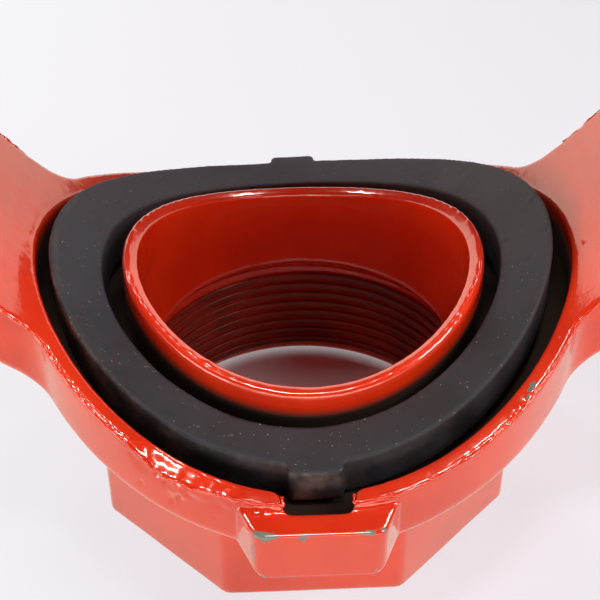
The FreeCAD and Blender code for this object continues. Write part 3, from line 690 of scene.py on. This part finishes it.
def noiseAt(points, size):
    # smooth noise from -1 to 1 at each point, its lumps about this many mm across
    values = (noise.noise(Vector(point) / (size * mm)) for point in points)
    return np.fromiter(values, np.float32, len(points))


def unevenness(points, form):
    # broad waves and fine grain, in mm
    waves = noiseAt(points, form["waveSize"]) * form["wave"]
    return waves + noiseAt(points, form["grainSize"]) * form["grain"]


def thinned(thing, triangles):
    faces = len(thing.data.polygons) * 2
    if faces > triangles:
        addModifier(thing, "DECIMATE", ratio=triangles / faces)
    settled(thing)
    return faces


def writeAttribute(mesh, name, values):
    mesh.attributes.new(name, "FLOAT", "POINT").data.foreach_set("value", np.asarray(values, np.float32))


# Castings: the CAD shape remeshed, its edges softened and its faces made gently uneven
housingCast = {
    "voxel": 0.45, "smoothing": 2, "wave": 0.08, "waveSize": 14.0, "grain": 0.02, "grainSize": 2.6,
    "triangles": 178000,
    "rim": {  # mm: the collar's rim, a bevel towards the bore, then smoothed this far out and down
        "pipeHeight": 103.7, "collarTop": 63.45, "inner": 28.3, "margin": 0.05, "outer": 30.4, "slope": 0.23,
        "depthReach": 1.1, "smoothing": 8, "smoothOut": 1.2, "smoothDown": 2.0,
    },
    "land": {  # mm: the strip of saddle beside the pocket, widest in front, narrower on the right
        "saddle": 70.15, "inner": 44.5, "edge": 46.6, "leastEdge": 45.9, "narrower": 2.0, "spread": 2.2,
        "frontReach": 20, "rearLimit": -0.8, "waver": 0.12, "waverSize": 3.0, "tilt": 0.062,
        "asideFrom": 0.6, "asideFade": 0.25, "depthReach": 0.45,
    },
    "sags": [  # where the saddle's edge rolls down, pressed straight down
        ((143, 452), 3.2, 0.7), ((152, 461), 3.4, 0.9), ((165, 470), 3.6, 1.0), ((180, 480), 3.6, 0.9),
        ((197, 489), 3.4, 0.7), ((215, 496), 3.2, 0.6), ((230, 501), 2.6, 0.5),
    ],
    "marks": [
        ((107, 428), 0.5, 0.30), ((119, 441), 0.5, 0.25), ((131, 454), 0.9, -0.25), ((142, 464), 2.2, -0.35),
        ((150, 461), 1.6, 0.30), ((157, 475), 0.9, -0.45), ((164, 468.5), 0.7, 0.50), ((162, 474), 0.9, 0.30),
        ((176, 476), 0.8, 0.45), ((170, 478), 1.2, 0.30), ((166, 483), 0.9, -0.40), ((180, 490), 1.5, 0.45),
        ((173, 491), 1.0, 0.35), ((185, 497), 0.9, 0.30), ((178.5, 498), 0.6, -0.40),
        ((172, 500), 0.7, -0.35), ((194, 492), 1.4, 0.30), ((203, 497), 1.6, 0.18),
        ((215, 504), 1.8, -0.15), ((228, 505), 1.3, 0.18),
        ((239, 508), 0.5, 0.30), ((248, 529), 0.6, 0.25), ((255.6, 509.7), 0.7, 0.35),
        ((264.5, 512.2), 0.7, 0.35), ((270, 512), 0.6, 0.30), ((215, 518), 0.6, -0.20),
        ((141, 482), 0.7, -0.20),
        ((512, 419), 0.6, 0.15), ((516, 413), 0.5, -0.20), ((520, 407), 0.6, 0.18), ((525, 400), 0.6, -0.20),
        ((529, 395), 0.5, 0.15), ((500, 433), 0.5, 0.12), ((558, 337), 0.6, 0.15),
        ((183, 343), 0.8, -0.30), ((192, 350), 0.7, 0.35), ((200, 355), 0.7, -0.25), ((208, 360), 0.8, 0.35),
        ((190.7, 326.6), 0.6, 0.35), ((171.7, 326), 0.5, 0.30), ((145, 304), 0.9, 0.20),
        ((251, 265), 0.5, 0.35), ((257, 264), 0.4, 0.35), ((255, 268), 0.4, -0.30),
        ((584.9, 241.9), 0.4, -0.25), ((574.8, 253), 0.4, -0.25),
    ],
    "chips": [  # two pixels and half a width in mm: bare iron where the enamel has come off
        ((255, 534.5), (273, 536), 0.55), ((262, 539), (266, 541), 0.4), ((252, 545), (252, 562), 0.22),
        ((254, 571), (264, 576), 0.4), ((264, 576.5), (292, 578), 0.25), ((302, 538), (304, 538.5), 0.4),
        ((360, 531.5), (373, 533), 0.45), ((382, 528), (385, 530), 0.35), ((372, 571), (375, 571), 0.4),
        ((534, 383), (531, 389), 0.55), ((528, 395), (527, 398), 0.3),
    ],
}
strapCast = {
    "voxel": 0.55, "smoothing": 3, "wave": 0.12, "waveSize": 14.0, "grain": 0.04, "grainSize": 2.6,
    "triangles": 120000, "sags": [], "marks": [], "chips": [],
}


chipFade = {"reach": 2, "middle": 1.1, "slope": 0.6}  # in halves of a chip's width


def chipMask(thing, points, chips):
    worn = np.zeros(len(points), np.float32)
    for first, second, half in chips:
        ends = []
        for pixel in (first, second):
            found, place, _, _ = thing.ray_cast(*pixelRay(pixel))
            if found:
                ends.append(np.array(place))
        if len(ends) < 2:
            print("no surface under the chip at", first, second)
            continue
        line = ends[1] - ends[0]
        near = np.clip((points - ends[0]) @ line / max(line @ line, 1e-12), 0, 1)
        distance = np.linalg.norm(points - ends[0] - near[:, None] * line, axis=1) / mm
        close = np.flatnonzero(distance < half * chipFade["reach"])
        bare = chipFade["middle"] - chipFade["slope"] * distance[close] / half
        worn[close] = np.maximum(worn[close], np.clip(bare, 0, 1))
    return worn


def shapeSaddle(points, rim, land):
    # the collar's rim bevelled towards the bore, and the saddle's land beside the pocket tilted a little
    fromPipe = points * (1, 0, 1) - (0, 0, rim["pipeHeight"])
    depth = np.linalg.norm(fromPipe, axis=1)
    out = np.hypot(points[:, 0], points[:, 1])
    target = rim["collarTop"] + rim["slope"] * (rim["outer"] - out)
    onRim = ((out > rim["inner"] + rim["margin"]) & (out < rim["outer"])
             & (depth < rim["collarTop"] + rim["depthReach"]))
    wanted = np.where(onRim, target, depth)
    edge = (land["edge"] - np.where(points[:, 0] > 0, land["narrower"], 0.0)
            + land["spread"] * np.clip(-points[:, 1] / land["frontReach"], land["rearLimit"], 1)
            + land["waver"] * noiseAt(points, land["waverSize"]))
    aside = np.abs(points[:, 0]) / np.maximum(out, 1e-6)
    aside = np.clip((aside - land["asideFrom"]) / land["asideFade"], 0, 1)
    onLand = ((out > land["inner"]) & (out < edge) & (edge > land["leastEdge"])
              & (np.abs(depth - land["saddle"]) < land["depthReach"]))
    wanted = np.where(onLand, depth - land["tilt"] * aside * (edge - out), wanted)
    return points + fromPipe * (wanted / depth - 1)[:, None]


def evenRim(thing, points, rim):
    # the bevel follows the mesh's own corners in steps, so the collar's rim is smoothed along its ring
    depth = np.linalg.norm(points * (1, 0, 1) - (0, 0, rim["pipeHeight"]), axis=1)
    near = ((np.hypot(points[:, 0], points[:, 1]) < rim["outer"] + rim["smoothOut"])
            & (depth < rim["collarTop"] + rim["smoothDown"]))
    thing.vertex_groups.new(name="collarRim").add(np.flatnonzero(near).tolist(), 1.0, "REPLACE")
    addModifier(thing, "SMOOTH", factor=smoothFactor, iterations=rim["smoothing"], vertex_group="collarRim")


def finished(thing, material, body, node):
    # dressed, and in the place of a CAD node
    thing.data.materials.clear()
    thing.data.materials.append(material)
    thing.data.shade_smooth()
    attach(thing, body)
    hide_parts(node)
    print(thing.name, len(thing.data.polygons), "faces")


def makeCasting(name, node, body, cast, extras=()):
    thing = softened(name, node, cast["voxel"], cast["smoothing"])
    mesh = thing.data
    bpy.context.view_layer.update()
    points, normals = meshPoints(mesh), meshPoints(mesh, "normal")
    points += normals * (unevenness(points, cast) * mm)[:, None]
    if "rim" in cast:
        points = shapeSaddle(points / mm, cast["rim"], cast["land"]) * mm
    places = findMarks(thing, cast["sags"], (0, 0, -1)) + findMarks(thing, cast["marks"])
    pressMarks(points, places)
    for extra in extras:
        bent = meshPoints(extra)
        pressMarks(bent, places)
        extra.vertices.foreach_set("co", bent.ravel())
    mesh.vertices.foreach_set("co", np.clip(points, cadBox[0], cadBox[1]).astype(np.float32).ravel())
    mesh.update()
    if "rim" in cast:
        evenRim(thing, points / mm, cast["rim"])
    print(name, thinned(thing, cast["triangles"]), "triangles before thinning")
    thing.vertex_groups.clear()
    bpy.context.view_layer.update()
    writeAttribute(thing.data, "chip", chipMask(thing, meshPoints(thing.data), cast["chips"]))
    if extras:
        thing.data = joined(name, thing.data, *extras)
    finished(thing, enamel, body, node)


makeCasting("outlet_casting", "outlet_housing", "outlet_half", housingCast, [flash])
makeCasting("strap_casting", "strap_housing", "strap", strapCast)


# Gasket
gasketForm = {
    "voxel": 0.4, "smoothing": 2, "triangles": 100000, "wave": 0.10, "waveSize": 9.0, "grain": 0.03,
    "grainSize": 1.6,
    "marks": [
        ((127.7, 176), 1.0, -0.2), ((100, 214.6), 0.4, 0.25), ((61, 243), 0.7, -0.3),
        ((61, 251), 0.7, -0.3), ((546, 230), 0.8, -0.35), ((527.7, 260), 0.8, -0.3),
        ((506, 241.6), 0.8, -0.3), ((530, 200), 1.0, 0.25), ((538, 196), 0.8, -0.25),
    ],
}
gasketDustAndHighlight = {  # pale dust and a painted edge highlight on the outer corner and side, towards the front left
    "edgeRadius": 41.0, "edgeFade": 1.5, "frontLeft": 40,   # mm
    "cornerTilt": 0.68, "cornerFade": 0.22,                 # upward part of the normal
    "sideTilt": 0.6, "sideFade": 0.3, "sideShare": 0.55,
    "blotchSize": 4.0, "blotchShare": 1.4, "fineSize": 1.1, "fineShare": 0.7, "least": 0.35,
}


# pale where dust lies and where the corner's highlight is painted, towards the front left
def dustAndHighlightOn(points, normals, plan):
    outer = np.hypot(points[:, 0], points[:, 1]) / mm - plan["edgeRadius"]
    outer = np.clip(outer / plan["edgeFade"], 0, 1)
    frontLeft = np.clip((-points[:, 0] - points[:, 1]) / (plan["frontLeft"] * mm), 0, 1)
    corner = np.clip(1 - np.abs(normals[:, 2] - plan["cornerTilt"]) / plan["cornerFade"], 0, 1)
    side = np.clip((plan["sideTilt"] - normals[:, 2]) / plan["sideFade"], 0, 1)
    blotches = np.clip(noiseAt(points, plan["blotchSize"]) * plan["blotchShare"]
                       + noiseAt(points, plan["fineSize"]) * plan["fineShare"] + plan["least"], 0, 1)
    return outer * frontLeft * blotches * (corner + side * plan["sideShare"])


def makeGasket(form):
    thing = softened("saddle_gasket", "gasket", form["voxel"], form["smoothing"])
    bpy.context.view_layer.update()
    points, normals = meshPoints(thing.data), meshPoints(thing.data, "normal")
    points += normals * (unevenness(points, form) * mm)[:, None]
    pressMarks(points, findMarks(thing, form["marks"]))
    thing.data.vertices.foreach_set("co", points.astype(np.float32).ravel())
    thing.data.update()
    thinned(thing, form["triangles"])
    writeAttribute(thing.data, "dust", dustAndHighlightOn(meshPoints(thing.data), meshPoints(thing.data, "normal"),
                                              gasketDustAndHighlight))
    finished(thing, rubber, "outlet_half", "gasket")
    return thing


gasket = makeGasket(gasketForm)


# Dust crumbs on the gasket, pale and a few of enamel
dustCrumbs = [
    {"name": "gasket_dust", "count": 230, "size": 0.11, "seed": 4, "colour": "#A8A6A8"},
    {"name": "enamel_dust", "count": 26, "size": 0.16, "seed": 11, "colour": "#B8402E"},
]
crumbForm = {
    "facingUp": 0.72,                                       # least upward part of the normal under a crumb
    "least": (0.35, 0.35, 0.25), "most": (1.5, 1.2, 0.7),   # of the crumb's size
    "shade": "#5A5452", "spotSize": 2.0, "roughness": 0.8,
}


def makeCrumbTree(form):
    tree, sockets, given = newGeometryTree("crumbs", {
        "Float": ("Density", "Crumb Size"), "Int": ("Seed",), "Material": ("Material",)})
    normal = addNode(tree, "GeometryNodeInputNormal").outputs[0]
    upward = addNode(tree, "ShaderNodeSeparateXYZ", {"Vector": normal}).outputs["Z"]
    scattered = addNode(tree, "GeometryNodeDistributePointsOnFaces", {
        "Mesh": given["Geometry"], "Selection": mathNode(tree, "GREATER_THAN", upward, form["facingUp"]),
        "Density": given["Density"], "Seed": given["Seed"]}).outputs
    crumb = addNode(tree, "GeometryNodeMeshIcoSphere", {"Radius": given["Crumb Size"], "Subdivisions": 1})
    spread = addNode(tree, "FunctionNodeRandomValue", {
        "Seed": given["Seed"], "Min": form["least"], "Max": form["most"]}, data_type="FLOAT_VECTOR")
    laid = addNode(tree, "GeometryNodeInstanceOnPoints", {
        "Points": scattered["Points"], "Instance": crumb.outputs["Mesh"], "Rotation": scattered["Rotation"],
        "Scale": spread.outputs[0]})
    closeTree(tree, laid.outputs[0], given["Material"])
    return tree, sockets


def makeDustMaterial(name, colour, form):
    # dry dust and crumbled enamel: matte, spotted
    material, tree, shader, place = newMaterial(name, {"Roughness": form["roughness"]})
    spots = noiseNode(tree, place, form["spotSize"], detail=2.0)
    tree.links.new(mixed(tree, spots, colour, form["shade"]), shader.inputs["Base Color"])
    return material


crumbTree, crumbSockets = makeCrumbTree(crumbForm)
gasketTop = sum(face.area for face in gasket.data.polygons if face.normal.z > crumbForm["facingUp"])
for crumbs in dustCrumbs:
    material = makeDustMaterial(f"{crumbs['name']}_finish", crumbs["colour"], crumbForm)
    thing = linkObject(crumbs["name"], gasket.data.copy())
    runTree(thing, crumbTree, crumbSockets, {
        "Density": crumbs["count"] / gasketTop, "Crumb Size": crumbs["size"] * mm, "Seed": crumbs["seed"],
        "Material": material})
    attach(thing, "outlet_half")
    print(crumbs["name"], len(thing.data.polygons), "faces")


# Track-head bolts: the CAD outline with its shank cut back to the thread's core and a rolled ridge on it
boltForm = {
    "axis": 88.15, "voxel": 0.35, "smoothing": 2, "shank": 6.0,  # mm
    "threadFrom": 108.0, "threadTo": 142.2, "core": 5.05, "crest": 5.93, "pitch": 1.75,
    "rootWidth": 1.45, "crestWidth": 0.25, "ridgeHeight": 1.05, "softness": 0.06, "sink": -0.9,
    "pointsPerTurn": 48,
}


def makeBolt(name, node, side, plan):
    thing = softened(name, node, plan["voxel"], plan["smoothing"])
    points = meshPoints(thing.data) / mm
    fromAxis = points[:, :2] - (side * plan["axis"], 0)
    radius = np.maximum(np.hypot(*fromAxis.T), 1e-6)
    threaded = np.clip(points[:, 2] - plan["threadFrom"], 0, 1)
    cutBack = plan["shank"] + (plan["core"] - plan["shank"]) * threaded
    limit = np.where(threaded > 0, cutBack, radius)
    points[:, :2] += fromAxis * (np.minimum(limit / radius, 1) - 1)[:, None]
    thing.data.vertices.foreach_set("co", (points * mm).astype(np.float32).ravel())
    thing.data.update()
    # the ridge is swept with its wide side inward, so root and crest change places
    ridge = makeRidge(f"{name}_ridge", zinc, {
        **plan, "radius": plan["crest"] - plan["ridgeHeight"] / 2, "height": plan["ridgeHeight"],
        "turns": (plan["threadTo"] - plan["threadFrom"]) / plan["pitch"], "start": plan["threadFrom"],
        "root": plan["crestWidth"], "crest": plan["rootWidth"]})
    ridge.data.transform(Matrix.Translation((side * plan["axis"] * mm, 0, 0)))
    thing.data = joined(name, thing.data, ridge.data)
    bpy.data.objects.remove(ridge)
    finished(thing, zinc, "outlet_half", node)


makeBolt("track_bolt_left", "bolt_left", -1, boltForm)
makeBolt("track_bolt_right", "bolt_right", 1, boltForm)

nutForm = {"voxel": 0.3, "smoothing": 2}  # mm, forged corners slightly rounded
for side in ("left", "right"):
    nut = softened(f"track_nut_{side}", f"nut_{side}", nutForm["voxel"], nutForm["smoothing"])
    finished(nut, zinc, f"{side}_nut", f"nut_{side}")


# The CAD pieces under the visual ones carry the same finishes
for node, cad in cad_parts.items():
    finish = rubber if node == "gasket" else enamel if node.endswith("housing") else zinc
    cad.data.materials.clear()
    cad.data.materials.append(finish)
